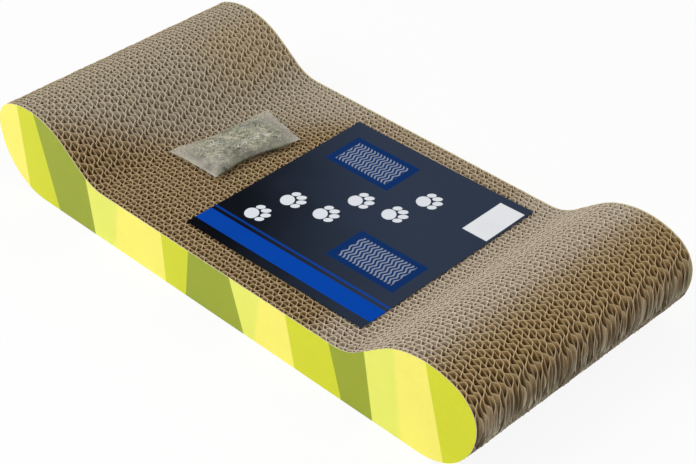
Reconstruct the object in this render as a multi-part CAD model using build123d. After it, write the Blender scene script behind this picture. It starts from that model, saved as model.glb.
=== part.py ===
from build123d import *
import os
from math import atan2, cos, degrees, radians, sin, tan

# A cardboard cat scratcher: boards standing on edge, glued face to face into a block with two raised
# ends and a flat waist, with a card label and a small pouch of catnip lying on the waist.
# Millimetres, +Z up, +X along the block, origin at the middle of the footprint on the floor.

# Outline of the block, seen from the side
LENGTH = 480.0  # end to end
CREST_HEIGHT = 77.0  # floor to the top of a raised end
CREST_SETBACK = 41.8  # end of the block to the crest
CROWN_RADIUS = 65.0  # the broad curve over a raised end
NOSE_DROP = 30.0  # crest down to the point that reaches furthest out
WAIST_DROP = 35.0  # crest down to the flat waist
SLOPE_ANGLE = 37.0  # slope from a crown down to the waist, in degrees
VALLEY_RADIUS = 37.0  # the hollow curve at the foot of a slope

# Boards and the glue between them
SINGLE_WALL = 3.3  # thickness of the near side panel
DOUBLE_WALL = 7.66  # thickness of a strip, and of the far side panel
STRIP_COUNT = 26
GLUE_FILM = 0.1
GLUE_HEIGHT = 8.0  # width of a glue line on the face of a board
GLUE_LOW = 8.0  # floor to the lower glue line
GLUE_PITCH = 18.0  # from one glue line up to the next
GLUE_END_MARGIN = 40.0  # bare board past the end of a glue line

# Card label, lying loose on the waist
LABEL_THICKNESS = 0.5
LABEL_LIFT = 0.3  # air under the card, which isn't pressed flat
LABEL_NEAR_MARGIN = 22.4  # bare board between the label and the near outer face
LABEL_FAR_MARGIN = 17.3  # bare board between the label and the far outer face
LABEL_LAP = 0.2  # how far the label runs onto the foot of its slope
LABEL_GAP = 15.1  # between the label and the pouch's bay
LABEL_TURN = 1.2  # degrees, seen from above

# Pouch of catnip, lying in a bay at the foot of the other slope
POUCH_BAY = 52.0  # length of waist kept for the pouch
POUCH_WIDTH = 52.0
POUCH_LENGTH = 76.0  # without its sealed ends
POUCH_THICKNESS = 12.5
POUCH_SEAM_HEIGHT = 5.0  # waist up to the seam round the pouch
POUCH_UNDERCUT = 7.0  # from the seam in to the patch that it rests on
POUCH_SHOULDER = 13.0  # from the seam in to the flat of its top
POUCH_OFFSET = 1.0  # from the middle of the width towards the far side
POUCH_TURN = -6.5  # degrees, seen from above
POUCH_FILM = 0.3
SEALED_END = 6.0
FILLING_CLEARANCE = 0.15

nose_height = CREST_HEIGHT - NOSE_DROP
waist_height = CREST_HEIGHT - WAIST_DROP
half_length = LENGTH / 2
board_pitch = DOUBLE_WALL + GLUE_FILM
width = SINGLE_WALL + (STRIP_COUNT + 1) * board_pitch
near_face = -width / 2


def arc(centre, radius, start, end):
    """An arc in the upright plane y = 0 about centre, an (x, z) pair, between two angles in degrees."""

    def point(angle):
        x = centre[0] + radius * cos(radians(angle))
        z = centre[1] + radius * sin(radians(angle))
        return (x, 0, z)

    return ThreePointArc(point(start), point((start + end) / 2), point(end))


def raised_end():
    """The edges of the +X end, in order from the floor up round the nose and crown to the waist."""
    crown_x = half_length - CREST_SETBACK
    crown_z = CREST_HEIGHT - CROWN_RADIUS
    # The nose arc touches the end plane at nose height and runs into the crown arc from inside it.
    rise = nose_height - crown_z
    reach = CROWN_RADIUS**2 - CREST_SETBACK**2 - rise**2
    nose_radius = reach / (2 * (CROWN_RADIUS - CREST_SETBACK))
    join = degrees(atan2(rise, CREST_SETBACK - nose_radius))
    underside = arc((half_length - nose_height, nose_height), nose_height, -90, 0)
    nose = arc((half_length - nose_radius, nose_height), nose_radius, 0, join)
    crown = arc((crown_x, crown_z), CROWN_RADIUS, join, 90 + SLOPE_ANGLE)
    top = crown @ 1
    valley_z = waist_height + VALLEY_RADIUS
    foot_z = valley_z - VALLEY_RADIUS * cos(radians(SLOPE_ANGLE))
    foot_x = top.X - (top.Z - foot_z) / tan(radians(SLOPE_ANGLE))
    valley_x = foot_x - VALLEY_RADIUS * sin(radians(SLOPE_ANGLE))
    valley = arc((valley_x, valley_z), VALLEY_RADIUS, SLOPE_ANGLE - 90, -90)
    slope = Line(top, valley @ 0)
    return [underside, nose, crown, slope, valley]


def block_outline():
    """The side outline of every board, as one face in the plane y = 0."""
    right = raised_end()
    left = [mirror(edge, Plane.YZ) for edge in right]
    floor_x = (right[0] @ 0).X
    waist_x = (right[-1] @ 1).X
    floor = Line((-floor_x, 0, 0), (floor_x, 0, 0))
    waist = Line((-waist_x, 0, waist_height), (waist_x, 0, waist_height))
    return make_face([floor, *right, waist, *left]), waist_x


outline, waist_half = block_outline()


def board(near_y, thickness):
    """A board standing on edge, with its near face at near_y."""
    return Pos(0, near_y, 0) * extrude(outline, amount=thickness, dir=(0, 1, 0))


def strip_near_face(index):
    """The near face of the strip at index, counted from 0 behind the near side panel."""
    return near_face + SINGLE_WALL + GLUE_FILM + index * board_pitch


def glue_lines():
    """Two lines of glue in every joint between neighbouring boards."""
    length = LENGTH - 2 * GLUE_END_MARGIN
    line = Box(length, GLUE_FILM, GLUE_HEIGHT, align=(Align.CENTER, Align.MAX, Align.MIN))
    joints = [strip_near_face(index) for index in range(STRIP_COUNT + 1)]
    heights = [GLUE_LOW, GLUE_LOW + GLUE_PITCH]
    return Compound([Pos(0, y, z) * line for y in joints for z in heights])


def label_card():
    """The card that fills the waist between the pouch's bay and the foot of the other slope."""
    low_x = -waist_half + POUCH_BAY + LABEL_GAP
    high_x = waist_half + LABEL_LAP
    low_y = near_face + LABEL_NEAR_MARGIN
    high_y = near_face + width - LABEL_FAR_MARGIN
    middle = Pos((low_x + high_x) / 2, (low_y + high_y) / 2, waist_height + LABEL_LIFT)
    resting = (Align.CENTER, Align.CENTER, Align.MIN)
    card = Box(high_x - low_x, high_y - low_y, LABEL_THICKNESS, align=resting)
    return middle * Rot(0, 0, LABEL_TURN) * card


def pillow(inset):
    """The pouch's filled shape, drawn in by inset all round, standing on z = 0."""
    levels = [
        (inset, POUCH_UNDERCUT + inset),
        (POUCH_SEAM_HEIGHT, inset),
        (POUCH_THICKNESS - inset, POUCH_SHOULDER + inset),
    ]
    sections = [
        Pos(0, 0, z) * Rectangle(POUCH_WIDTH - 2 * step, POUCH_LENGTH - 2 * step) for z, step in levels
    ]
    return loft(sections, ruled=True)


def pouch_place():
    """Where the pouch lies: in its bay on the waist, turned a little."""
    return Pos(-waist_half + POUCH_BAY / 2, POUCH_OFFSET, waist_height) * Rot(0, 0, POUCH_TURN)


def catnip_pouch():
    """A film pouch with a sealed strip across each end."""
    from_seam = (Align.CENTER, Align.MIN, Align.CENTER)
    tab = Box(POUCH_WIDTH, SEALED_END + POUCH_FILM, 2 * POUCH_FILM, align=from_seam)
    far_tab = Pos(0, POUCH_LENGTH / 2 - POUCH_FILM, POUCH_SEAM_HEIGHT) * tab
    near_tab = Rot(0, 0, 180) * far_tab
    bag = pillow(0) + far_tab + near_tab
    return pouch_place() * (bag - pillow(POUCH_FILM))


def catnip_filling():
    """The dried leaf that fills the pouch."""
    return pouch_place() * pillow(POUCH_FILM + FILLING_CLEARANCE)


nodes = {"near_side_panel": board(near_face, SINGLE_WALL)}
for index in range(STRIP_COUNT):
    nodes[f"scratch_strip_{index + 1:02d}"] = board(strip_near_face(index), DOUBLE_WALL)
nodes["far_side_panel"] = board(strip_near_face(STRIP_COUNT), DOUBLE_WALL)
nodes["glue_lines"] = glue_lines()
nodes["label_card"] = label_card()
nodes["catnip_pouch"] = catnip_pouch()
nodes["catnip_filling"] = catnip_filling()

os.makedirs("parts", exist_ok=True)
for name, shape in nodes.items():
    export_step(shape, f"parts/{name}.step")
print(f"{len(nodes)} nodes, {LENGTH:.1f} x {width:.2f} x {CREST_HEIGHT:.1f} mm, flat waist {2 * waist_half:.1f} mm")
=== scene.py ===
# %% [markdown]
# # A cardboard cat scratcher
#
# The real thing is a block of corrugated board. Strips of board stand on edge, side by side, so that
# the open ends of their flutes make the top that a cat scratches. A striped panel closes each long side,
# and a card label and a little pouch of catnip lie on the waist between the two raised ends.
#
# The CAD model gives the size and place of every board. This script keeps that frame as it is and makes
# the looks round it: paper where the CAD has plain slabs, print, film, dried leaf, light and a floor.

# %% Load the frame
import functools
import itertools
import math
import random
from collections import namedtuple

import bmesh
import bpy
from mathutils import Matrix, Vector, noise
from mathutils.bvhtree import BVHTree


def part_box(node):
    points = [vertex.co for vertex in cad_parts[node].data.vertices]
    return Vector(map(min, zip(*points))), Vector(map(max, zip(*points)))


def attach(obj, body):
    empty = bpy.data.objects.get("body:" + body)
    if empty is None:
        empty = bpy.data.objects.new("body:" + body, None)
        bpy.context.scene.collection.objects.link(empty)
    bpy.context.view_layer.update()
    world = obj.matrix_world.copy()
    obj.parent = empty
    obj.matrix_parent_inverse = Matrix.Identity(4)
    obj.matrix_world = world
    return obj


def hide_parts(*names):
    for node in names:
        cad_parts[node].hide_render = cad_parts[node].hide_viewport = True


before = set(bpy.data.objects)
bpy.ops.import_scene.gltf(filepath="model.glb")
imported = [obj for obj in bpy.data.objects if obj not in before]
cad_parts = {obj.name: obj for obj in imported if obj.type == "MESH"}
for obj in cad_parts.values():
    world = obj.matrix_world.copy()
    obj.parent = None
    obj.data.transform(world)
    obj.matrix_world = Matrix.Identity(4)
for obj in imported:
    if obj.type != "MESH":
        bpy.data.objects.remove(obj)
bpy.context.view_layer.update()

MM = 0.001

# %% [markdown]
# ## The camera
#
# The camera comes first, because every later choice is judged through it. Its place was worked out from
# the outline of the block in the photograph: it looks down over the near right end with a long lens.
# A camera looks along its own -Z axis, so the three columns of its matrix are its right, up and back.

# %% Camera
CAMERA_PLACE = Vector((0.72749, -0.67993, 0.75564))
CAMERA_AZIMUTH = math.radians(45.99)
CAMERA_ELEVATION = math.radians(36.71)
CAMERA_ROLL = math.radians(-0.99)
LENS = 89.589
SENSOR_WIDTH = 36.0


def camera_turn():
    """The camera's rotation: azimuth round the object, elevation above the floor, then roll."""
    azimuth = Matrix.Rotation(CAMERA_AZIMUTH, 4, "Z")
    elevation = Matrix.Rotation(math.pi / 2 - CAMERA_ELEVATION, 4, "X")
    roll = Matrix.Rotation(CAMERA_ROLL, 4, "Z")
    return azimuth @ elevation @ roll


lens = bpy.data.cameras.new("photo_camera")
lens.lens = LENS
lens.sensor_width = SENSOR_WIDTH
lens.clip_start = 0.05
camera = bpy.data.objects.new("photo_camera", lens)
camera.matrix_world = Matrix.Translation(CAMERA_PLACE) @ camera_turn()
bpy.context.collection.objects.link(camera)
bpy.context.scene.camera = camera
print("Camera looks along", [round(value, 3) for value in camera_turn().to_3x3() @ Vector((0, 0, -1))])

# %% [markdown]
# ## Writing shaders as sums
#
# A material in Blender is a graph of nodes. Drawing it node by node hides the idea, so this small class
# wraps one output socket and lets Python's operators add the Math nodes: `1 - mask` or `x * 3 + y` then
# reads like the sum it is. Every other kind of node comes from one method, which takes the kind, its
# settings, and the values or wires for its sockets.


# %% Wires
class Wire:
    """One output socket of a node tree. Arithmetic on wires adds Math nodes to the tree."""

    def __init__(self, socket):
        self.socket = socket

    def node(self, kind, settings=None, sockets=None, output=0):
        """Adds a node, sets it up, fills its sockets, and returns a wire from an output, if any."""
        tree = self.socket.id_data
        made = tree.nodes.new("ShaderNode" + kind)
        for name, value in (settings or {}).items():
            setattr(made, name, value)
        for key, value in (sockets or {}).items():
            if isinstance(value, Wire):
                tree.links.new(value.socket, made.inputs[key])
            else:
                made.inputs[key].default_value = value
        return Wire(made.outputs[output]) if made.outputs else None

    def also(self, output):
        """A wire from another output of the same node."""
        return Wire(self.socket.node.outputs[output])

    def math(self, operation, *others):
        """A Math node with this wire first."""
        return self.node("Math", {"operation": operation}, dict(enumerate((self, *others))))

    def __add__(self, other):
        return self.math("ADD", other)

    __radd__ = __add__

    def __mul__(self, other):
        return self.math("MULTIPLY", other)

    __rmul__ = __mul__

    def __sub__(self, other):
        return self.math("SUBTRACT", other)

    def __rsub__(self, other):
        return self.node("Math", {"operation": "SUBTRACT"}, {0: other, 1: self})

    def __truediv__(self, other):
        return self.math("DIVIDE", other)

    def step(self, low, high):
        """0 where this wire is under low, 1 over high, and a smooth rise between."""
        settings = {"interpolation_type": "SMOOTHSTEP"}
        return self.node("MapRange", settings, {"Value": self, "From Min": low, "From Max": high})

    def blend(self, first, second):
        """A Mix of two colours, with this wire as the share of the second."""
        return self.node("Mix", {"data_type": "RGBA"}, {0: self, 6: first, 7: second}, 2)

    def grain(self, scale, detail=2.0, roughness=0.5):
        """A noise between 0 and 1 at this place; scale is one number, or one for each axis."""
        place = self
        if isinstance(scale, tuple):
            place = self.node("VectorMath", {"operation": "MULTIPLY"}, {0: self, 1: scale})
            scale = 1.0
        values = {"Vector": place, "Scale": scale, "Detail": detail, "Roughness": roughness}
        return self.node("TexNoise", {}, values, "Fac")

    def relief(self, strength, distance):
        """A Bump that rises by up to this distance with this wire."""
        return self.node("Bump", {}, {"Strength": strength, "Distance": distance, "Height": self})


def start_finish(name):
    """A new material without nodes, and the place on the piece in metres to begin its sums with."""
    material = bpy.data.materials.new(name)
    material.use_nodes = True
    material.node_tree.nodes.clear()
    start = material.node_tree.nodes.new("ShaderNodeTexCoord")
    return material, Wire(start.outputs["Object"])


def close_finish(place, colour, roughness, relief, specular=0.5, alpha=1.0):
    """Ends a material's sums in one Principled shader."""
    sockets = {"Base Color": colour, "Roughness": roughness, "Normal": relief}
    sockets |= {"Specular IOR Level": specular, "Alpha": alpha}
    shader = place.node("BsdfPrincipled", {}, sockets)
    place.node("OutputMaterial", {}, {"Surface": shader})


def paint(red, green, blue):
    """A colour as a paint chart gives it, 0 to 255, in the linear values that shaders use."""

    def linear(value):
        share = value / 255
        return share / 12.92 if share <= 0.04045 else ((share + 0.055) / 1.055) ** 2.4

    return (linear(red), linear(green), linear(blue), 1.0)


print("Mid grey paint is", round(paint(188, 188, 188)[0], 3), "in linear light")

# %% [markdown]
# ## Painted sheen and shade
#
# Broad patches of painted light lie over the paper: the pale and hazy ones are a painted sheen, as of clear
# film over the block, and the warm ones lighten it where the lamps give it less light. The noses get
# painted shade and sheen, greyer and darker towards the floor and the ends, in upright streaks. Noise can't
# put a patch where it belongs, so these are masks in millimetres along, across and above the block, mixed
# over the paper one after another.

# %% Painted sheen and shade
# Colours of painted light: a pale film sheen, a hazy sheen and a warm light, then the noses' sheen and
# shade
KRAFT_FILM_SHEEN = paint(234, 221, 201)
KRAFT_HAZE_SHEEN = paint(224, 217, 199)
KRAFT_WARM_LIGHT = paint(220, 188, 130)
KRAFT_NOSE_SHEEN = paint(202, 197, 180)
KRAFT_STREAK_SHADE = paint(88, 83, 72)
# Stretches of x, in mm, painted over in another colour as sheen or light: where the patch begins, is full,
# fades and is gone, how far its fading edge moves along x for each mm across, the two y between which it
# comes in, and how strongly it is painted
LightPatch = namedtuple("LightPatch", "begins full fades gone lean across share colour")
WHOLE_WIDTH = (-201, -200)
LIGHT_PATCHES = [
    LightPatch(-235, -215, -135, -90, 0.6, WHOLE_WIDTH, 0.6, KRAFT_HAZE_SHEEN),
    LightPatch(84, 110, 182, 220, 0.0, WHOLE_WIDTH, 0.8, KRAFT_FILM_SHEEN),
    LightPatch(188, 208, 226, 244, 0.0, WHOLE_WIDTH, 0.26, KRAFT_WARM_LIGHT),
    LightPatch(-200, -176, -156, -128, 0.0, (20, 66), 0.3, KRAFT_WARM_LIGHT),
    LightPatch(-150, -100, 176, 204, 0.0, (60, 100), 0.42, KRAFT_FILM_SHEEN),
]
# The two noses get painted shade and sheen, greyer and darker towards the floor and the ends, in upright
# streaks
NOSE_SHADE_HEIGHTS = (36, 66)
NOSE_SHADE_ENDS = (216, 234)
NOSE_SHADE_SHARE = 0.72
PAINTED_STREAKS_PER_METRE = (90.0, 560.0, 26.0)
PAINTED_STREAK_EDGE = (0.4, 0.6)


def paint_sheen_and_shade(colour, place):
    """The colour of the paper with the painted sheen and light of the patches, and the painted shade and
    sheen of the noses.
    """
    in_mm = place.node("VectorMath", {"operation": "SCALE"}, {0: place, "Scale": 1 / MM})
    across = place.node("SeparateXYZ", {}, {0: in_mm}, "Y")
    along = across.also("X")
    # Painted sheen and light: each patch mixes its colour over the paper
    for patch in LIGHT_PATCHES:
        within = along.step(patch.begins, patch.full) * across.step(*patch.across)
        within = within * (1 - (along - across * patch.lean).step(patch.fades, patch.gone))
        colour = (within * patch.share).blend(colour, patch.colour)
    # Painted shade and sheen: the noses go grey and dark towards the floor and the ends, in streaks
    ends = along.math("ABSOLUTE").step(*NOSE_SHADE_ENDS)
    nose_shade = ends * (1 - across.also("Z").step(*NOSE_SHADE_HEIGHTS)) * NOSE_SHADE_SHARE
    painted_streaks = place.grain(PAINTED_STREAKS_PER_METRE, 2.0, 0.6).step(*PAINTED_STREAK_EDGE)
    return nose_shade.blend(colour, painted_streaks.blend(KRAFT_STREAK_SHADE, KRAFT_NOSE_SHEEN))


# Patches of painted sheen and light, and painted shade on the noses below this height
print(len(LIGHT_PATCHES), "rubbed patches, and dust below", NOSE_SHADE_HEIGHTS[1], "mm")

# %% [markdown]
# ## Kraft paper
#
# Kraft paper is brown from unbleached pulp. A saw frays the fibres of a cut edge, and they scatter light,
# so each vertex of a sheet stores how far it is from the upper and the lower cut: the paper is pale within
# a millimetre of either. Further in it darkens to deep brown, a painted shade for the depths of the flutes
# where little light reaches. A mottle, a fleck and fibres that run up the sheet keep the brown from looking
# dipped.

# %% Kraft finish
# The deepest colour is painted shade for the depths of the flutes, where little light reaches
KRAFT_SHADED_DEEP = paint(146, 114, 66)
KRAFT_DULL = paint(171, 138, 87)
KRAFT_FACE = paint(194, 164, 115)
KRAFT_CUT = paint(204, 180, 141)
DUST = paint(150, 143, 130)
CLEAN = paint(255, 255, 255)
FRAY_DEPTH = 1.0 * MM
SHADE_DEPTH = 3.4 * MM
# How fine each noise is, in waves per metre, for all axes or for each
MOTTLE = 45.0
LAYERS = (6.0, 260.0, 6.0)
FLECKS = 1400.0
FIBRES = (900.0, 900.0, 120.0)


def from_cut(place):
    """Distance to the nearer cut edge, as stored on the vertices of a sheet."""
    below = place.node("Attribute", {"attribute_name": "below_top"}, {}, "Fac")
    above = place.node("Attribute", {"attribute_name": "above_bottom"}, {}, "Fac")
    return below.math("MINIMUM", above)


def shade(place, colour, amount, dark, light, share):
    """A colour multiplied by tints between dark and light, as far as share says."""
    tint = amount.blend(dark, light)
    multiply = {"data_type": "RGBA", "blend_type": "MULTIPLY"}
    return place.node("Mix", multiply, {0: share, 6: colour, 7: tint}, 2)


def kraft_paper(name):
    """Brown paper with pale, frayed cuts, painted shade deep in the flutes, and the painted sheen, light
    and shade of the patches and noses.
    """
    material, place = start_finish(name)
    mottle = place.grain(MOTTLE, 3.0)
    layer = place.grain(LAYERS, 1.0)
    fleck = place.grain(FLECKS, 2.0, 0.7)
    fibre = place.grain(FIBRES, 2.0, 0.6)
    tone = (mottle * 0.45 + layer * 0.55).step(0.3, 0.7)
    depth = from_cut(place)
    # Painted shade: the paper darkens with depth below either cut
    face = depth.step(0.0, SHADE_DEPTH).blend(tone.blend(KRAFT_DULL, KRAFT_FACE), KRAFT_SHADED_DEEP)
    fray = 1 - depth.step(0.0, FRAY_DEPTH)
    colour = paint_sheen_and_shade((fray * (0.7 + 0.6 * fleck)).blend(face, KRAFT_CUT), place)
    dusty = (fleck * 0.6 + fibre * 0.4).step(0.25, 0.75)
    colour = shade(place, colour, dusty, DUST, CLEAN, 0.5)
    relief = (fibre + fleck * 0.5).relief(0.35, 0.2 * MM)
    close_finish(place, colour, 0.8 + 0.15 * mottle, relief, specular=0.25)
    return material


kraft = kraft_paper("kraft_paper")
print("Kraft finish has", len(kraft.node_tree.nodes), "nodes")

# %% [markdown]
# ## The outline that every board is cut to
#
# All boards share one side outline. It could be written down again here, but then it might drift from
# the CAD, so it is measured: a ray dropped on the near panel finds the upper cut at any x, and a ray sent
# up from below the floor finds the lower cut.

# %% Measure the cut
near_low, near_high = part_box("near_side_panel")
half_length = near_high[0]
half_width = -near_low[1]
near_middle = (near_low[1] + near_high[1]) / 2
panel_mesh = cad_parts["near_side_panel"].data
panel_tree = BVHTree.FromPolygons(
    [vertex.co.copy() for vertex in panel_mesh.vertices],
    [tuple(polygon.vertices) for polygon in panel_mesh.polygons],
)
PROBE_REACH = 1.0
cut_cache = {}


def cut_at(x):
    """Heights of the upper and the lower cut of a board at x."""
    if x not in cut_cache:
        down = panel_tree.ray_cast(Vector((x, near_middle, PROBE_REACH)), Vector((0, 0, -1)))
        up = panel_tree.ray_cast(Vector((x, near_middle, -PROBE_REACH)), Vector((0, 0, 1)))
        cut_cache[x] = (down[0].z, up[0].z)
    return cut_cache[x]


waist_height = cut_at(0.0)[0]
print("Waist", round(waist_height / MM, 2), "mm, block", round(2 * half_length / MM, 1), "mm long")

# %% [markdown]
# ## The line of a flute
#
# A corrugated board is a sandwich: flat liners with a wavy sheet between them. The slabs of the CAD have
# the outer size but no flutes, and a bump map could only paint them, so here each sheet of paper is real.
# The boards in this block are double-wall: a coarse flute on the near side and a finer one behind it.
#
# A plain sine would look drawn. The sides of a real flute are straighter and its crests sink into the
# glued liners, so the wave is squared off, and slow noises shift its phase and height. Strips are cut from
# long board one after another, so each is a steady step ahead of the last.

# %% Line of a flute
# Shift is how far each strip's flutes are ahead of the last one's, as a share of their pitch
Flute = namedtuple("Flute", "pitch height shift")
COARSE = Flute(8.54 * MM, 3.86 * MM, 0.205)
FINE = Flute(7.94 * MM, 3.0 * MM, 0.41)
LINER = 0.16 * MM
MIDDLE_LINER = 0.14 * MM
PRINTED_LINER = 0.5 * MM
MEDIUM = 0.5 * MM
STEEP = 1.6
# A smooth noise along a sheet: its size, its waves per metre, and a number that sets it apart
Unevenness = namedtuple("Unevenness", "size rate seed")
SLOW_DRIFT = Unevenness(0.5, 14, 0.0)
QUICK_DRIFT = Unevenness(0.25, 90, 4.0)
CRUSH = Unevenness(0.08, 30, 8.0)
SHEET_SPREAD = 400


def uneven(kind, x, middle):
    """One of these noises at x, on the sheet whose middle is at this y."""
    return kind.size * noise.noise((x * kind.rate, middle * SHEET_SPREAD, kind.seed))


def wave(flute, height, middle, order):
    """The line of a fluted sheet about middle, between liners height apart, in the strip at order."""
    swing = (height + LINER) / 2

    def line(x):
        drift = uneven(SLOW_DRIFT, x, middle) + uneven(QUICK_DRIFT, x, middle)
        crush = 1 - abs(uneven(CRUSH, x, middle))
        turn = math.sin(math.tau * (x / flute.pitch + order * flute.shift) + drift)
        return middle + swing * crush * math.tanh(STEEP * turn) / math.tanh(STEEP)

    return line


print("Flutes every", round(COARSE.pitch / MM, 2), "and", round(FINE.pitch / MM, 2), "mm")

# %% [markdown]
# ## A sheet on edge
#
# A grid of one row gives the sheet. Its long edges go to the two cuts, its line follows the liner or the
# wave, and Solidify's operator gives it the thickness of paper. Stacked boards never lie quite true, so
# each place strays a little, though never out of the block.

# %% Sheet on edge
END_INSET = 0.12 * MM
# The upper cut is ragged: by how much, and how often per metre along and across
CUT_RAGGED = 0.16 * MM
TEARS_ALONG = 700
TEARS_ACROSS = 900
# Strays: the margin that they fade in over, their sizes, and their waves per metre, fewer up the sheet
STRAY_MARGIN = 8 * MM
STRAY_START = 0.06
STRAY_ALONG = 0.45 * MM
STRAY_ACROSS = 0.85 * MM
STRAY_RATE = 140
STRAY_APART = Vector((0, 0, 9))
SLOW_RATE = 45
QUICK_RATE = 160
UP_RATE = 0.1


def even_run(count):
    """Places along the block, evenly spaced."""
    reach = half_length - END_INSET
    return [reach * (2 * index / count - 1) for index in range(count + 1)]


def closing_run(count):
    """Places along the block that close up towards its two round ends."""
    reach = half_length - END_INSET
    return [reach * math.sin(math.pi * (index / count - 0.5)) for index in range(count + 1)]


def wander(x, y, z):
    """How far the stack has strayed along and across at a place."""
    free = max(0.0, min(1.0, (half_width - abs(y)) / STRAY_MARGIN - STRAY_START))
    loose = min(1.0, (half_length - abs(x)) / STRAY_MARGIN)
    place = Vector((x, y, UP_RATE * z))
    slow = noise.noise(place * SLOW_RATE)
    quick = noise.noise(place * QUICK_RATE)
    along = noise.noise(place * STRAY_RATE + STRAY_APART)
    return loose * STRAY_ALONG * along, free * STRAY_ACROSS * (0.6 * slow + 0.4 * quick)


def add_sheet(bm, run, line, thickness, slot=0):
    """One sheet of paper on edge: at each x of run it stands on line(x), from cut to cut."""
    columns = len(run) - 1
    sheet = bmesh.ops.create_grid(bm, x_segments=columns, y_segments=1, size=0.5)["verts"]
    for vertex in sheet:
        x = run[round((vertex.co.x + 0.5) * columns)]
        upper = vertex.co.y > 0
        top, bottom = cut_at(x)
        y = line(x)
        ragged = CUT_RAGGED * (noise.noise((x * TEARS_ALONG, y * TEARS_ACROSS, 0.0)) - 0.5)
        z = max(top + ragged, bottom) if upper else bottom
        stray_x, stray_y = wander(x, y, z)
        vertex.co = (x + stray_x, y + stray_y, z)
    faces = list({face for vertex in sheet for face in vertex.link_faces})
    for face in faces:
        face.material_index = slot
    bm.normal_update()
    bmesh.ops.translate(bm, verts=sheet, vec=(0, -thickness / 2, 0))
    bmesh.ops.solidify(bm, geom=faces, thickness=thickness)


print("Sheets stray up to", round(STRAY_ACROSS / MM, 2), "mm across the block")

# %% [markdown]
# ## From a mesh to a piece
#
# A finish can't tell how deep in the board it is, so every vertex stores its distance from both cuts. The
# other helpers end every piece: smooth shading with crisp edges, and the calls that tie the piece to its
# body and to the CAD node it stands for.

# %% Pieces
SLOPE_STEP = 0.4 * MM
SHARP_ANGLE = math.radians(50)


def store_cut_distances(bm):
    """Stores each vertex's distance from the upper and the lower cut, at right angles to the cut."""
    below = bm.verts.layers.float.new("below_top")
    above = bm.verts.layers.float.new("above_bottom")
    reach = half_length - END_INSET - SLOPE_STEP
    for vertex in bm.verts:
        x = max(-reach, min(reach, round(vertex.co.x, 5)))
        top, bottom = cut_at(x)
        ahead, behind = cut_at(x + SLOPE_STEP), cut_at(x - SLOPE_STEP)
        top_lean = math.hypot(2 * SLOPE_STEP, ahead[0] - behind[0]) / (2 * SLOPE_STEP)
        bottom_lean = math.hypot(2 * SLOPE_STEP, ahead[1] - behind[1]) / (2 * SLOPE_STEP)
        vertex[below] = max(0.0, top - vertex.co.z) / top_lean
        vertex[above] = max(0.0, vertex.co.z - bottom) / bottom_lean


def soften(bm, angle=SHARP_ANGLE):
    """Smooth shading, with edges sharper than angle kept crisp."""
    for face in bm.faces:
        face.smooth = True
    for edge in bm.edges:
        edge.smooth = edge.calc_face_angle(0.0) < angle


def add_piece(name, bm, finishes, body, slot, *nodes):
    """Turns a bmesh into a finished piece that rides on body and stands for these CAD nodes."""
    mesh = bpy.data.meshes.new(name)
    bm.to_mesh(mesh)
    bm.free()
    for finish in finishes:
        mesh.materials.append(finish)
    piece = bpy.data.objects.new(name, mesh)
    bpy.context.collection.objects.link(piece)
    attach(piece, body)
    if nodes:
        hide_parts(*nodes)
    return piece


print("Edges of over", round(math.degrees(SHARP_ANGLE)), "degrees stay crisp")

# %% [markdown]
# ## The strips
#
# A board is its liners and flutes in order, from the near face to the far one, in the room that the CAD
# slab gives. The columns of a liner close up where the outline turns quickly, at the two ends. Flutes need
# theirs evenly, a dozen to each wave.

# %% Strips
LINER_COLUMNS = 320
STEPS_PER_FLUTE = 12


def add_board(node, flutes, order, finishes, slot, printed=""):
    """A corrugated board in place of a CAD slab, its flutes listed from the near side to the far one."""
    low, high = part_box(node)
    liners = [LINER, *[MIDDLE_LINER] * (len(flutes) - 1), LINER]
    if printed == "near":
        liners[0] = PRINTED_LINER
    if printed == "far":
        liners[-1] = PRINTED_LINER
    room = high[1] - low[1] - sum(liners)
    nominal = sum(flute.height for flute in flutes)
    bm = bmesh.new()
    y = low[1]
    for index, liner in enumerate(liners):
        middle = y + liner / 2
        add_sheet(bm, closing_run(LINER_COLUMNS), lambda x: middle, liner, int(liner == PRINTED_LINER))
        y += liner
        if index < len(flutes):
            flute = flutes[index]
            height = room * flute.height / nominal
            columns = round(2 * half_length / flute.pitch) * STEPS_PER_FLUTE
            line = wave(flute, height, y + height / 2, order)
            add_sheet(bm, even_run(columns), line, MEDIUM)
            y += height
    bmesh.ops.recalc_face_normals(bm, faces=bm.faces)
    store_cut_distances(bm)
    soften(bm)
    return add_piece(node + "_paper", bm, finishes, "block", slot, node)


strip_nodes = sorted(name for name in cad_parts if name.startswith("scratch_strip_"))
for order, node in enumerate(strip_nodes):
    strip = add_board(node, [COARSE, FINE], order, [kraft], "corrugated_board")
print(len(strip_nodes), "strips of", len(strip.data.polygons), "faces each")

# %% [markdown]
# ## The printed side panels
#
# The outer liner of each side panel is coated white and printed with slanted stripes in greens and
# yellows, a common pattern that needs no drawing by hand. Each stripe begins at a line, given by where it
# crosses a fixed height and how far it leans, and the finish mixes the colours over one after another.
# The flutes behind show through such a thin liner as faint upright ribs, which a bump gives.

# %% Stripe finish
PALE_YELLOW = paint(255, 245, 116)
LIME_YELLOW = paint(218, 221, 44)
OLIVE = paint(157, 169, 46)
LIGHT_LIME = paint(238, 241, 109)
PRINT_EDGE = paint(224, 214, 174)
INK_THIN = paint(236, 238, 226)
INK_SPECKS = 500.0
INK_CLOUDS = 18.0
STRIPE_LEVEL = 20 * MM
# The inks take turns, each with the width of its stripe's first edge, in mm
CRISP = 0.6
SOFT = 5.0
INKS = [(LIME_YELLOW, CRISP), (OLIVE, CRISP), (LIGHT_LIME, CRISP), (PALE_YELLOW, SOFT)]
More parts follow.
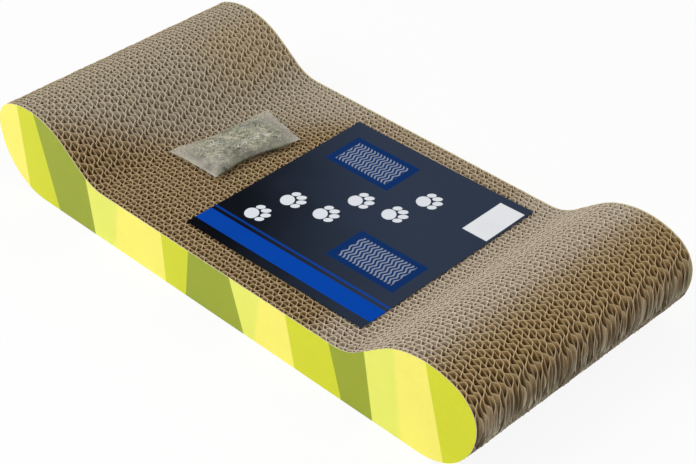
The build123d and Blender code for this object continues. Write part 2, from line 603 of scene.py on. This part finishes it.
# Where each stripe begins at the level, in mm, and how far that moves along x for each mm up
STRIPES = [
    (-211.3, -0.031),
    (-179.3, -0.241),
    (-133.4, -0.098),
    (-104.5, 0.179),
    (-51.8, -0.027),
    (-26.8, 0.164),
    (24.7, -0.28),
    (44.5, 0.195),
    (77.3, -0.169),
    (119.6, -0.254),
    (150.4, -0.128),
    (175.9, -0.091),
    (210.8, -0.224),
]


def striped_print(name):
    """Slanted stripes on the outer face of a liner, bare paper on its cut edge and its back."""
    material, place = start_finish(name)
    x = place.node("SeparateXYZ", {}, {0: place}, "X")
    above_level = x.also("Z") - STRIPE_LEVEL
    colour = PALE_YELLOW
    for (start, lean), (ink_colour, edge) in zip(STRIPES, itertools.cycle(INKS)):
        past = x - above_level * lean - start * MM
        half_edge = edge * MM / 2
        colour = past.step(-half_edge, half_edge).blend(colour, ink_colour)
    ink = place.grain(INK_SPECKS, 3.0, 0.6)
    mottle = place.grain(INK_CLOUDS, 2.0)
    colour = shade(place, colour, (ink * 0.4 + mottle * 0.6).step(0.2, 0.8), INK_THIN, CLEAN, 0.6)
    facing = place.node("NewGeometry", {}, {}, "Normal")
    outward = place.node("SeparateXYZ", {}, {0: facing}, "Y") * x.also("Y").math("SIGN")
    colour = outward.step(0.4, 0.6).blend(PRINT_EDGE, colour)
    ribs = (x * (2 * math.pi / FINE.pitch)).math("SINE")
    relief = (ribs * 0.3 + ink * 0.3 + mottle).relief(0.25, 0.1 * MM)
    close_finish(place, colour, 0.32 + 0.14 * mottle, relief, specular=0.12)
    return material


stripes = striped_print("striped_print")
print(len(STRIPES) + 1, "stripes in", len(stripes.node_tree.nodes), "nodes")

# %% [markdown]
# A side panel is a board like the strips, but for one thicker liner that carries the print. The near panel
# is single-wall, and the far one is double-wall like the strips.

# %% Side panels
panel_finishes = [kraft, stripes]
far_order = len(strip_nodes)
near_panel = add_board("near_side_panel", [FINE], -1, panel_finishes, "printed_board", "near")
far_panel = add_board("far_side_panel", [COARSE, FINE], far_order, panel_finishes, "printed_board", "far")
print("Panels of", len(near_panel.data.polygons), "and", len(far_panel.data.polygons), "faces")

# %% [markdown]
# ## Dried glue
#
# Two lines of glue hold each pair of boards together. They are thin films between the liners, and hardly
# ever seen, so the CAD solids stay and only get the milky, slightly glossy look of dried wood glue.

# %% Glue finish
GLUE_YELLOW = paint(205, 186, 132)
GLUE_MILKY = paint(232, 222, 190)
GLUE_PATCHES = 80.0


def dried_glue(name):
    """Milky yellow glue with a patchy gloss."""
    material, place = start_finish(name)
    patch = place.grain(GLUE_PATCHES, 3.0)
    colour = patch.step(0.3, 0.7).blend(GLUE_YELLOW, GLUE_MILKY)
    close_finish(place, colour, 0.25 + 0.3 * patch, patch.relief(0.3, 0.1 * MM))
    return material


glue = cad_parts["glue_lines"]
glue.data.materials.clear()
glue.data.materials.append(dried_glue("dried_glue"))
print("Glue lines dressed")

# %% [markdown]
# ## Where the loose things lie
#
# The card and the pouch lie turned on the waist. From above, the CAD of each is a rectangle, so the
# vertices that reach furthest along the diagonals are its corners. They give each thing a frame of its own.

# %% Footprints
Footprint = namedtuple("Footprint", "corner middle length width turn")


def footprint(node):
    """Where a turned rectangle lies, seen from above: its near left corner, middle, sizes and turn."""
    points = [vertex.co.to_2d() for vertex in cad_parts[node].data.vertices]
    near_left = min(points, key=lambda point: point.x + point.y)
    near_right = max(points, key=lambda point: point.x - point.y)
    far_left = min(points, key=lambda point: point.x - point.y)
    along = near_right - near_left
    across = far_left - near_left
    middle = near_left + (along + across) / 2
    turn = math.atan2(along.y, along.x)
    return Footprint(near_left.to_3d(), middle.to_3d(), along.length, across.length, turn)


def own_frame(place):
    """The matrix that takes a thing from its own frame to where it lies."""
    return Matrix.Translation(place.middle) @ Matrix.Rotation(place.turn, 4, "Z")


label_place = footprint("label_card")
label_frame = own_frame(label_place)
pouch_place = footprint("catnip_pouch")
pouch_frame = own_frame(pouch_place)
for name, place in {"Label": label_place, "Pouch": pouch_place}.items():
    print(name, round(place.length / MM, 1), "by", round(place.width / MM, 1), "mm")

# %% [markdown]
# ## The card label
#
# A smooth card lies on the waist. It gets a plain design of its own: dark blue with a painted sheen that
# pales it towards one side, a bright band, a trail of paws, two panels of waves drawn like flutes, and a
# bare white patch. All of it is drawn by sums on the card's own coordinates, in millimetres from one
# corner, which a Mapping node turns with the card.

# %% Label layout
CARD_NIGHT = paint(3, 5, 11)
# The slate that the card pales to is a painted sheen, standing in for a reflection of the light
CARD_SHEEN_SLATE = paint(47, 57, 75)
BAND_BLUE = paint(2, 68, 168)
BLOCK_BLUE = paint(3, 46, 104)
PAW_WHITE = paint(226, 230, 236)
WAVE_GREY = paint(150, 158, 172)
PATCH_WHITE = paint(238, 240, 243)

# All in millimetres from the card's near left corner: along its length, across its width
Block = namedtuple("Block", "along across colour strength")
BLOCKS = [
    Block((-4, 172), (8, 23), BAND_BLUE, 1.0),
    Block((-4, 172), (26, 28), BAND_BLUE, 0.7),
    Block((14, 76), (122, 158), BLOCK_BLUE, 0.9),
    Block((96, 158), (40, 76), BLOCK_BLUE, 0.9),
    Block((144.6, 166.4), (125, 166), PATCH_WHITE, 1.0),
]
WAVES = [
    Block((20, 70), (127, 153), WAVE_GREY, 0.85),
    Block((102, 152), (45, 71), WAVE_GREY, 0.85),
]
WAVE_PITCH = 3.2
WAVE_LENGTH = 8.0
WAVE_SWING = 0.9
WAVE_SHARE = 0.45
BLOCK_EDGE = 0.3
# A trail of paws across the card, left and right by turns. Their size is half the width of the big pad
PAW_COUNT = 6
PAW_START = Vector((20, 44))
PAW_STRIDE = 24.0
PAW_STRADDLE = 8.0
PAW_TURN = math.radians(42)
PAW_SIZE = 6.2
# A paw pointing along +u, in pads: middle along u and to either side, half sizes along u and across
PAW_PADS = [(0.0, 0.0, 0.85, 1.0), (0.95, 1.15, 0.55, 0.38), (1.6, 0.45, 0.6, 0.4)]
print(len(BLOCKS), "blocks,", len(WAVES), "panels of waves and", PAW_COUNT, "paws")

# %% [markdown]
# Each mark is a mask that is 1 where its ink lies. A rectangle is two steps along the card times two
# across it, and the waves are a row that repeats and swings. A paw is alike on both sides, so its ellipses
# take one coordinate without its sign and draw two toes in one.

# %% Label masks
WAVE_START = 0.1
WAVE_EDGE = 0.08
PAD_EDGE = (0.9, 1.1)


def inside(value, ends, edge=BLOCK_EDGE):
    """1 where value is between the two ends, with an edge of that softness."""
    return value.step(ends[0] - edge, ends[0] + edge) * (1 - value.step(ends[1] - edge, ends[1] + edge))


def block_mask(along, across, block):
    """1 on a rectangle of the card."""
    return inside(along, block.along) * inside(across, block.across)


def wave_mask(along, across):
    """Fine wavy lines, drawn like the flutes of the board."""
    swing = (across * (math.tau / WAVE_LENGTH)).math("SINE") * WAVE_SWING
    row = ((along + swing) / WAVE_PITCH).math("FRACT")
    return inside(row, (WAVE_START, WAVE_START + WAVE_SHARE), WAVE_EDGE)


def paw_trail():
    """The middles of the paws."""
    ahead = Vector((math.cos(PAW_TURN), math.sin(PAW_TURN)))
    aside = Vector((ahead.y, -ahead.x)) * PAW_STRADDLE
    return [PAW_START + ahead * PAW_STRIDE * step + aside * (-1) ** step for step in range(PAW_COUNT)]


def paw_mask(along, across, middle):
    """A pad and two toes on either side, each an ellipse."""
    ahead = (along - middle.x) / PAW_SIZE
    aside = (across - middle.y) / PAW_SIZE
    u = ahead * math.cos(PAW_TURN) + aside * math.sin(PAW_TURN)
    v = (aside * math.cos(PAW_TURN) - ahead * math.sin(PAW_TURN)).math("ABSOLUTE")
    pads = []
    for pad_u, pad_v, half_u, half_v in PAW_PADS:
        reach_u = (u - pad_u) / half_u
        reach_v = (v - pad_v) / half_v
        pads.append(1 - (reach_u * reach_u + reach_v * reach_v).step(*PAD_EDGE))
    return functools.reduce(Wire.__add__, pads)


print("Paws at", [tuple(round(value) for value in middle) for middle in paw_trail()])

# %% [markdown]
# The print is these masks, mixed over the dark card one after another, thinner where a broad cloud says so.

# %% Label print
PRINT_CLOUDS = 14.0
PRINT_SCREEN = 900.0
# How much the painted sheen pales the card for each mm along and across
SHEEN_ALONG = 0.0035
SHEEN_ACROSS = 0.0045


def printed_label(name):
    """The generic print of the card, in millimetres from its corner."""
    material, place = start_finish(name)
    corner = {"Location": label_place.corner, "Rotation": (0, 0, label_place.turn), "Scale": (MM, MM, MM)}
    card = place.node("Mapping", {"vector_type": "TEXTURE"}, {"Vector": place, **corner})
    along = place.node("SeparateXYZ", {}, {0: card}, "X")
    across = along.also("Y")
    cloud = place.grain(PRINT_CLOUDS, 3.0)
    screen = place.grain(PRINT_SCREEN, 2.0)
    # Painted sheen: the dark card pales to slate along and across it
    painted_sheen = (along * SHEEN_ALONG + across * SHEEN_ACROSS + cloud * 0.4).step(0.25, 1.1)
    colour = painted_sheen.blend(CARD_NIGHT, CARD_SHEEN_SLATE)
    for block in BLOCKS:
        share = block_mask(along, across, block) * block.strength * (0.8 + 0.35 * cloud)
        colour = share.blend(colour, block.colour)
    waves = wave_mask(along, across)
    for block in WAVES:
        colour = (block_mask(along, across, block) * waves * block.strength).blend(colour, block.colour)
    for middle in paw_trail():
        colour = paw_mask(along, across, middle).blend(colour, PAW_WHITE)
    relief = (cloud + screen * 0.1).relief(0.2, 0.2 * MM)
    close_finish(place, colour, 0.34 + 0.15 * cloud, relief, specular=0.01)
    return material


label_print = printed_label("label_print")
print("Label print has", len(label_print.node_tree.nodes), "nodes")

# %% [markdown]
# Card that has lain about is never quite flat, so it swells a little here and there and its corners lift.

# %% Label card
LABEL_CELLS = 40
CARD_THICKNESS = 0.4 * MM
CARD_CURL = 0.5 * MM
CARD_SWELL = 0.35 * MM
SWELL_RATE = 2.1


def label_sheet():
    """A card that bows a little and lifts at its corners."""
    bm = bmesh.new()
    bmesh.ops.create_grid(bm, x_segments=LABEL_CELLS, y_segments=LABEL_CELLS, size=0.5)
    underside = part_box("label_card")[0][2]
    for vertex in bm.verts:
        x, y = vertex.co.x * label_place.length, vertex.co.y * label_place.width
        u, v = 2 * vertex.co.x, 2 * vertex.co.y
        swell = CARD_SWELL * (0.5 + 0.5 * noise.noise((SWELL_RATE * u, SWELL_RATE * v, 3.0)))
        curl = CARD_CURL * (u * u * v * v) ** 2
        vertex.co = (x, y, underside + swell + curl)
    bmesh.ops.transform(bm, matrix=label_frame, verts=bm.verts)
    bmesh.ops.translate(bm, verts=bm.verts, vec=(0, 0, CARD_THICKNESS))
    bmesh.ops.solidify(bm, geom=bm.faces[:], thickness=CARD_THICKNESS)
    bmesh.ops.recalc_face_normals(bm, faces=bm.faces)
    soften(bm)
    return bm


label = add_piece("printed_card", label_sheet(), [label_print], "label", "label_print", "label_card")
card_heights = [round(corner[2] / MM, 2) for corner in label.bound_box[:2]]
print("Card between", card_heights, "mm above the floor")

# %% [markdown]
# ## The pouch of catnip
#
# A small bag of clear film, heat-sealed across both ends and blown up a little by what is in it. A pillow
# drawn by hand looks like a pillow, and film wrinkles, so this one is a cloth simulation: two sheets
# joined at their edges and pressed apart. Cloth behaves best at the size of a cushion, so it is simulated
# eight times too large. Its wrinkles hang on the order of the vertices, which no operator promises, so the
# vertices are sorted, and every run gives the same bag.

# %% Flat bag
SEALED_END = 6 * MM
SEAM_HEIGHT = 5 * MM
POUCH_CELLS = (36, 60)
CUSHION_SCALE = 8.0
FLAT_THICKNESS = 0.6 * MM
FLAT_JITTER = 0.1
RANK_STEPS = Vector((1.0, 100.0, 100000.0))
pouch_low, pouch_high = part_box("catnip_pouch")
film_rise = pouch_high[2] - pouch_low[2] - SEAM_HEIGHT
filled_length = pouch_place.width - 2 * SEALED_END
flat_size = Vector((pouch_place.length, pouch_place.width, 1.0)) * CUSHION_SCALE


def rank(place):
    """One number for a place in the flat bag, by which vertices, edges or faces can be put in order."""
    return place.dot(RANK_STEPS)


def flat_bag():
    """Two sheets of film joined all round, lying flat, at the size that the simulation likes."""
    bm = bmesh.new()
    bmesh.ops.create_grid(bm, x_segments=POUCH_CELLS[0], y_segments=POUCH_CELLS[1], size=0.5)
    bmesh.ops.scale(bm, vec=flat_size, verts=bm.verts)
    bm.normal_update()
    bmesh.ops.solidify(bm, geom=bm.faces[:], thickness=FLAT_THICKNESS * CUSHION_SCALE)
    bmesh.ops.recalc_face_normals(bm, faces=bm.faces)
    bm.verts.sort(key=lambda vertex: rank(vertex.co))
    bm.edges.sort(key=lambda edge: rank(edge.verts[0].co + edge.verts[1].co))
    bm.faces.sort(key=lambda face: rank(face.calc_center_median()))
    rough = random.Random(3)
    for vertex in bm.verts:
        vertex.co.z += rough.uniform(-FLAT_JITTER, FLAT_JITTER) * MM * CUSHION_SCALE
    return bm


bag_bm = flat_bag()
flat_places = [vertex.co.copy() for vertex in bag_bm.verts]
print("Flat bag of", len(bag_bm.faces), "faces")

# %% [markdown]
# Pressure pushes every face outwards until the film holds it back. The result is read after a second, and
# the simulated object goes again.

# %% Blow up the film
SIMULATED_FRAMES = 24
PRESSURE = 3.0
BENDING = 0.05


def blow_up(bm):
    """Runs Cloth with pressure on a closed bag and returns the swollen mesh as a bmesh."""
    mesh = bpy.data.meshes.new("bag_simulated")
    bm.to_mesh(mesh)
    bag = bpy.data.objects.new("bag_simulated", mesh)
    bpy.context.collection.objects.link(bag)
    cloth = bag.modifiers.new("film", "CLOTH")
    cloth.settings.use_pressure = True
    cloth.settings.uniform_pressure_force = PRESSURE
    cloth.settings.effector_weights.gravity = 0
    cloth.settings.bending_stiffness = BENDING
    cloth.point_cache.frame_end = SIMULATED_FRAMES
    scene = bpy.context.scene
    for number in range(1, SIMULATED_FRAMES + 1):
        scene.frame_set(number)
    swollen = bag.evaluated_get(bpy.context.evaluated_depsgraph_get()).to_mesh()
    result = bmesh.new()
    result.from_mesh(swollen)
    bpy.data.objects.remove(bag)
    bpy.data.meshes.remove(mesh)
    scene.frame_set(1)
    return result


swollen_bm = blow_up(bag_bm)
swollen_top = max(vertex.co.z for vertex in swollen_bm.verts)
print("Blown up to", round(swollen_top / CUSHION_SCALE / MM, 1), "mm over its seam")

# %% [markdown]
# ## The bag on the waist
#
# The swollen bag is brought down to its real size. What lies on a board isn't as round as a balloon: its
# underside is flat, and the filling has slid to the label's side, which is fuller and squarer. Past the
# filling a heated bar has pressed the two sheets into one, which ripples and droops. Each vertex also
# stores how slack the film is there, for the finish.

# %% Lay the bag down
# How far the film keeps the sideways pull of the simulation, and how much it tapers to the label's side
DRAWN_IN = 0.35
SIDE_TAPER = 0.07
# How square its shoulder and its belly are, from the slack side to the label's side
FULLNESS = (1.5, 3.2)
BELLY = (1.1, 4.0)
# Lumps on top and strays of the edge: sizes, waves per metre, and what sets the two strays apart
LUMP = 0.9 * MM
LUMP_RATE = 90
EDGE_STRAY = 0.9 * MM
EDGE_RATE = 70
EDGE_LEVEL = 0.01
EDGE_APART = Vector((0, 0, 5))
# The pressed ends: how soon the film closes, how far, the bar's ripple, and how they droop
SEAL_TAPER = 9 * MM
SEAL_PRESS = 0.96
SEAL_RIPPLE = 0.3 * MM
RIPPLE_ACROSS = 700
RIPPLE_ALONG = 40
SEAL_DROOP = 2.2 * MM
DROOP_MEAN = 0.6
DROOP_ACROSS = 60
DROOP_ALONG = 9
# The filling, in the bag's own frame, and how far from its middle the film begins to be slack
FILLING_MIDDLE = Vector((3.4 * MM, -2 * MM))
FILLING_HALF = Vector((21 * MM, 33 * MM))
SLACK_START = 0.75
SLACK_REACH = 0.4


def between(ends, share):
    """The value at this share of the way from one end to the other."""
    return ends[0] + (ends[1] - ends[0]) * share


def lay_bag(width, length, rise, drop):
    """A copy of the swollen bag at this size, with its seam at z = 0 and its top nearly flat."""
    bm = swollen_bm.copy()
    for vertex, start in zip(bm.verts, flat_places):
        drawn_in = start.lerp(vertex.co, DRAWN_IN)
        x = drawn_in.x / flat_size.x * width
        y = drawn_in.y / flat_size.y * length * (1 - 2 * SIDE_TAPER * start.x / flat_size.x)
        full = start.x / flat_size.x + 0.5
        swell = vertex.co.z / swollen_top
        if swell > 0:
            lump = LUMP * noise.noise(Vector((x, y, 0)) * LUMP_RATE)
            raised = 1 - (1 - min(swell, 1.0)) ** between(FULLNESS, full)
            z = rise * raised + lump * swell - LUMP * swell
        else:
            z = -drop * min(1.0, -swell * between(BELLY, full))
        spot = Vector((x, y, EDGE_LEVEL)) * EDGE_RATE
        stray_x = EDGE_STRAY * noise.noise(spot)
        stray_y = EDGE_STRAY * noise.noise(spot + EDGE_APART)
        vertex.co = (x + stray_x, y + stray_y, z)
    return bm


def seal_ends(bm):
    """Presses the two sheets together past the filling, with the ripple of a heated bar."""
    for vertex in bm.verts:
        x, y, z = vertex.co
        past = (abs(y) - filled_length / 2 + SEAL_TAPER) / SEAL_TAPER
        pressed = max(0.0, min(1.0, past))
        pressed = pressed * pressed * (3 - 2 * pressed)
        ripple = SEAL_RIPPLE * math.sin(x * RIPPLE_ACROSS + y * RIPPLE_ALONG)
        past_filling = max(0.0, abs(y) - filled_length / 2) / SEALED_END
        hang = DROOP_MEAN + noise.noise((x * DROOP_ACROSS, y * DROOP_ALONG, 2.0))
        droop = SEAL_DROOP * past_filling * hang
        vertex.co.z = z * (1 - SEAL_PRESS * pressed) + ripple * pressed - droop


def off_filling(place):
    """How far a place in the bag is from the middle of the filling: 1 at its rounded edge."""
    u = (place.x - FILLING_MIDDLE.x) / FILLING_HALF.x
    v = (place.y - FILLING_MIDDLE.y) / FILLING_HALF.y
    return (abs(u) ** 3 + abs(v) ** 3) ** (1 / 3)


def store_slack(bm):
    """Stores how empty the bag is at each vertex: 0 over the filling, 1 at the seals and slack corners."""
    slack = bm.verts.layers.float.new("slack")
    for vertex in bm.verts:
        vertex[slack] = max(0.0, min(1.0, (off_filling(vertex.co) - SLACK_START) / SLACK_REACH))


def put_on_waist(bm):
    """Turns a bag as the pouch lies and sets it on the board."""
    bmesh.ops.transform(bm, matrix=pouch_frame, verts=bm.verts)
    bmesh.ops.translate(bm, verts=bm.verts, vec=(0, 0, waist_height + SEAM_HEIGHT))
    bm.normal_update()


film_bm = lay_bag(pouch_place.length, pouch_place.width, film_rise, SEAM_HEIGHT)
seal_ends(film_bm)
store_slack(film_bm)
put_on_waist(film_bm)
film_tree = BVHTree.FromBMesh(film_bm)
film_top = max(vertex.co.z for vertex in film_bm.verts)
print("Film of", len(film_bm.faces), "faces, top at", round(film_top / MM, 1), "mm")

# %% [markdown]
# Clear film is seen by its glints and a little haze, most of it where the bag is slack, so the finish is
# mostly see-through. Subdivision rounds the facets of the simulation, which the glints would show up.

# %% Film finish
FILM_TINT = paint(196, 192, 176)
HAZE_PATCHES = 90.0
CREASES = (80.0, 50.0, 80.0)


def clear_film(name):
    """Clear film: mostly see-through, hazy in patches, glossy on its wrinkles."""
    material, place = start_finish(name)
    haze = place.grain(HAZE_PATCHES, 3.0, 0.6)
    crease = place.grain(CREASES, 2.0, 0.5)
    slack = place.node("Attribute", {"attribute_name": "slack"}, {}, "Fac")
    alpha = 0.13 + 0.22 * haze.step(0.38, 0.72) + 0.24 * slack
    roughness = 0.12 + 0.16 * haze + 0.3 * slack
    relief = crease.relief(0.6, 1.6 * MM)
    close_finish(place, FILM_TINT, roughness, relief, alpha=alpha, specular=1.0)
    return material


soften(film_bm, math.pi)
pouch = add_piece("film_bag", film_bm, [clear_film("clear_film")], "pouch", "pouch_film", "catnip_pouch")
rounding = pouch.modifiers.new("rounding", "SUBSURF")
rounding.levels = 1
rounding.render_levels = 1
print("Bag with", len(pouch.data.polygons), "faces before rounding")

# %% [markdown]
# ## Dried leaf
#
# What shows through the film is rubbed catnip: flakes of grey-green leaf, with some straw. Each flake has
# a shade of its own, stored on its vertices, and a noise adds another by where it lies.

# %% Leaf finish
LEAF_DARK = paint(98, 100, 82)
LEAF_GREY = paint(180, 180, 153)
LEAF_STRAW = paint(222, 214, 184)
VEIN_DARK = paint(140, 140, 140)
LEAF_PATCHES = 80.0
VEINS = 1600.0


def dried_leaf(name):
    """Grey-green to straw, by the shade of each flake and where it lies."""
    material, place = start_finish(name)
    flake = place.node("Attribute", {"attribute_name": "flake_shade"}, {}, "Fac")
    kind = 0.9 * place.grain(LEAF_PATCHES, 2.0, 0.6) + 0.4 * flake - 0.15
    vein = place.grain(VEINS, 2.0)
    green = kind.step(0.2, 0.55).blend(LEAF_DARK, LEAF_GREY)
    colour = kind.step(0.5, 0.8).blend(green, LEAF_STRAW)
    colour = shade(place, colour, vein.step(0.2, 0.8), VEIN_DARK, CLEAN, 0.5)
    close_finish(place, colour, 0.75 + 0.2 * kind, vein.relief(0.6, 0.3 * MM))
    return material


leaf = dried_leaf("dried_leaf")
print("Leaf finish has", len(leaf.node_tree.nodes), "nodes")

# %% [markdown]
# A textured lump would show no depth, so the leaf is a core with flakes on it. The core is the swollen bag
# once more, smaller and lumpier, so it keeps clear of the film wherever that goes.

# %% Leaf core
CORE_SINK = 2.4 * MM
CORE_LIFT = 0.5 * MM
CORE_LUMP = 0.16
CORE_LUMP_RATE = 160
CORE_SHRINK = 0.1


def leaf_core():
    """A lumpy body that fills the bag as far as the filling reaches."""
    width, length = 2 * FILLING_HALF
    bm = lay_bag(width, length, film_rise - CORE_SINK, SEAM_HEIGHT - CORE_LIFT)
    bmesh.ops.translate(bm, verts=bm.verts, vec=FILLING_MIDDLE.to_3d())
    for vertex in bm.verts:
        vertex.co.z *= 1 + CORE_LUMP * noise.noise(vertex.co * CORE_LUMP_RATE) - CORE_SHRINK
    put_on_waist(bm)
    soften(bm, math.pi)
    return bm


core = add_piece("leaf_core", leaf_core(), [leaf], "pouch", "dried_leaf", "catnip_filling")
print("Core of", len(core.data.polygons), "faces")

# %% [markdown]
# The flakes lie against the inside of the film. A ray from outside finds a place on it, a bent strip of
# two faces is laid a little way in, and it goes again if any corner reaches through the film. Each try has
# a seed of its own, so one that goes doesn't change those after it.

# %% Leaf flakes
FLAKE_COUNT = 900
FLAKE_LENGTH = (2.5 * MM, 7.0 * MM)
FLAKE_THICKNESS = 0.15 * MM
FLAKE_CLEARANCE = 0.2 * MM
# Shares of a flake's length: its breadth, and its bend at most with the least and the most of that
FLAKE_BREADTH = (0.25, 0.6)
FLAKE_BEND = 0.12
BEND_SHARE = (0.2, 1.0)
# How deep under the film it lies, in mm, and how far from the filling's middle the flakes end
FLAKE_SINK = (0.6, 2.0)
FILLING_EDGE = (0.85, 1.0)
# The spread of the rays along x and y for each unit up, of which this is the least
RAY_SPREAD = (0.6, 0.4)
RAY_UP = 0.3
# The spread of a flake's lean, in radians
LEAN_SPREAD = (0.18, 0.14)


def place_on_film(toss):
    """A chance place on the film over the filling and the film's normal there, or None for a miss."""
    x = toss.uniform(-0.5, 0.5) * pouch_place.length
    y = toss.uniform(-0.5, 0.5) * filled_length
    out = Vector((toss.gauss(0, RAY_SPREAD[0]), toss.gauss(0, RAY_SPREAD[1]), RAY_UP + toss.random()))
    out.normalize()
    target = pouch_frame @ Vector((x, y, 0)) + Vector((0, 0, waist_height + SEAM_HEIGHT))
    hit, normal, _, _ = film_tree.ray_cast(target + out * PROBE_REACH, -out)
    if hit is None or off_filling(pouch_frame.inverted() @ hit) > toss.uniform(*FILLING_EDGE):
        return None
    return hit, normal


def add_flake(bm, toss):
    """A bent flake about the origin, pointed at both ends. Returns all its vertices."""
    length = toss.uniform(*FLAKE_LENGTH)
    breadth = length * toss.uniform(*FLAKE_BREADTH)
    flake = bmesh.ops.create_grid(bm, x_segments=2, y_segments=1, size=0.5)["verts"]
    for vertex in flake:
        x, y = vertex.co.x, vertex.co.y
        bend = FLAKE_BEND * toss.uniform(*BEND_SHARE) if abs(x) > 0.1 else 0.0
        vertex.co = (x * length, y * breadth * (1 - abs(x)), -bend * length)
    faces = list({face for vertex in flake for face in vertex.link_faces})
    bm.normal_update()
    thick = bmesh.ops.solidify(bm, geom=faces, thickness=FLAKE_THICKNESS)["geom"]
    return set(flake) | {item for item in thick if isinstance(item, bmesh.types.BMVert)}


def flake_lie(toss, centre, normal):
    """The matrix that lays a flake there, spun by chance and nearly flat against the film."""
    tip = Matrix.Rotation(toss.gauss(0, LEAN_SPREAD[0]), 4, "X")
    lean = tip @ Matrix.Rotation(toss.gauss(0, LEAN_SPREAD[1]), 4, "Y")
    facing = normal.to_track_quat("Z", "Y").to_matrix().to_4x4()
    spin = Matrix.Rotation(toss.uniform(0, math.tau), 4, "Z")
    return Matrix.Translation(centre) @ facing @ spin @ lean


def sticks_out(vertices):
    """Whether a flake with these vertices reaches through the film."""
    for vertex in vertices:
        nearest, normal, _, _ = film_tree.find_nearest(vertex.co)
        if (vertex.co - nearest).dot(normal) > -FLAKE_CLEARANCE:
            return True
    return False


def leaf_flakes():
    """Flakes that lie against the inside of the film, on its top and its sides."""
    bm = bmesh.new()
    shade_layer = bm.verts.layers.float.new("flake_shade")
    made = 0
    tries = 0
    while made < FLAKE_COUNT:
        tries += 1
        toss = random.Random(tries)
        found = place_on_film(toss)
        if found is None:
            continue
        hit, normal = found
        centre = hit - normal * toss.uniform(*FLAKE_SINK) * MM
        whole = add_flake(bm, toss)
        bmesh.ops.transform(bm, matrix=flake_lie(toss, centre, normal), verts=list(whole))
        if sticks_out(whole):
            bmesh.ops.delete(bm, geom=list(whole), context="VERTS")
            continue
        made += 1
        flake_shade = toss.random()
        for vertex in whole:
            vertex[shade_layer] = flake_shade
    bmesh.ops.recalc_face_normals(bm, faces=bm.faces)
    return bm


flakes = add_piece("leaf_flakes", leaf_flakes(), [leaf], "pouch", "dried_leaf")
print(FLAKE_COUNT, "flakes,", len(flakes.data.polygons), "faces")

# %% [markdown]
# ## Floor and light
#
# The block stands on a plain white floor in soft studio light: one broad lamp from the front left, a weaker
# one from the right, and an even grey sky. To the camera, and in reflections, floor and sky are white.
# The floor mixes plain white with a lit surface, so that the shadow of the block still shows on it.

# %% Floor
FLOOR_SIZE = 12.0
FLOOR_GLOW = 0.9
FLOOR_DULL = paint(238, 238, 238)
FLOOR_BRIGHT = paint(246, 246, 246)
FLOOR_CLOUDS = 2.0


def seen_by_eye(start):
    """1 for rays from the camera and for mirrored or refracted ones, 0 for the light that is bounced."""
    camera_ray = start.node("LightPath", {}, {}, "Is Camera Ray")
    return camera_ray.math("MAXIMUM", camera_ray.also("Is Glossy Ray")).math(
        "MAXIMUM", camera_ray.also("Is Transmission Ray")
    )


def white_floor(name):
    """A lit white floor that glows to the eye alone, so it shows white with a soft shadow."""
    material, place = start_finish(name)
    white = place.grain(FLOOR_CLOUDS, 2.0).blend(FLOOR_DULL, FLOOR_BRIGHT)
    lit = place.node("BsdfDiffuse", {}, {"Color": white})
    glow = place.node("Emission", {}, {"Color": (1, 1, 1, 1), "Strength": 1.0})
    mixed = place.node("MixShader", {}, {0: seen_by_eye(place) * FLOOR_GLOW, 1: lit, 2: glow})
    place.node("OutputMaterial", {}, {"Surface": mixed})
    return material


floor_bm = bmesh.new()
bmesh.ops.create_grid(floor_bm, x_segments=1, y_segments=1, size=FLOOR_SIZE / 2)
floor_mesh = bpy.data.meshes.new("studio_floor")
floor_bm.to_mesh(floor_mesh)
floor_bm.free()
floor_mesh.materials.append(white_floor("studio_floor"))
floor = bpy.data.objects.new("studio_floor", floor_mesh)
bpy.context.collection.objects.link(floor)
print("Floor", FLOOR_SIZE, "m across")

# %% [markdown]
# A lamp shines along its own -Z, so tracking with +Z away from the aim turns it to the block. The third one
# is small and weak, and stands at the back to put sparks on the film.

# %% Lights
SKY_STRENGTH = 0.53
AIM = Vector((0.0, 0.0, 0.03))
Lamp = namedtuple("Lamp", "place size watts")
LAMPS = {
    "key_lamp": Lamp(Vector((-0.7, -1.3, 1.5)), 1.1, 21.5),
    "right_lamp": Lamp(Vector((1.5, -0.4, 1.1)), 1.2, 4.3),
    "spark_lamp": Lamp(Vector((-0.9, 0.9, 1.3)), 0.1, 1.5),
}


def add_lamp(name, lamp):
    """A square soft lamp that faces the block."""
    light = bpy.data.lights.new(name, "AREA")
    light.size = lamp.size
    light.energy = lamp.watts
    holder = bpy.data.objects.new(name, light)
    facing = (lamp.place - AIM).to_track_quat("Z", "Y").to_matrix().to_4x4()
    holder.matrix_world = Matrix.Translation(lamp.place) @ facing
    bpy.context.collection.objects.link(holder)


def white_sky():
    """A world that lights evenly and looks white."""
    world = bpy.data.worlds.new("studio_sky")
    world.use_nodes = True
    world.node_tree.nodes.clear()
    start = Wire(world.node_tree.nodes.new("ShaderNodeTexCoord").outputs["Object"])
    eye = seen_by_eye(start)
    strength = eye + (1 - eye) * SKY_STRENGTH
    sky = start.node("Background", {}, {"Color": (1, 1, 1, 1), "Strength": strength})
    start.node("OutputWorld", {}, {"Surface": sky})
    bpy.context.scene.world = world


for name, lamp in LAMPS.items():
    add_lamp(name, lamp)
white_sky()
bpy.context.scene.view_settings.view_transform = "Standard"
print(len(LAMPS), "lamps and a sky")
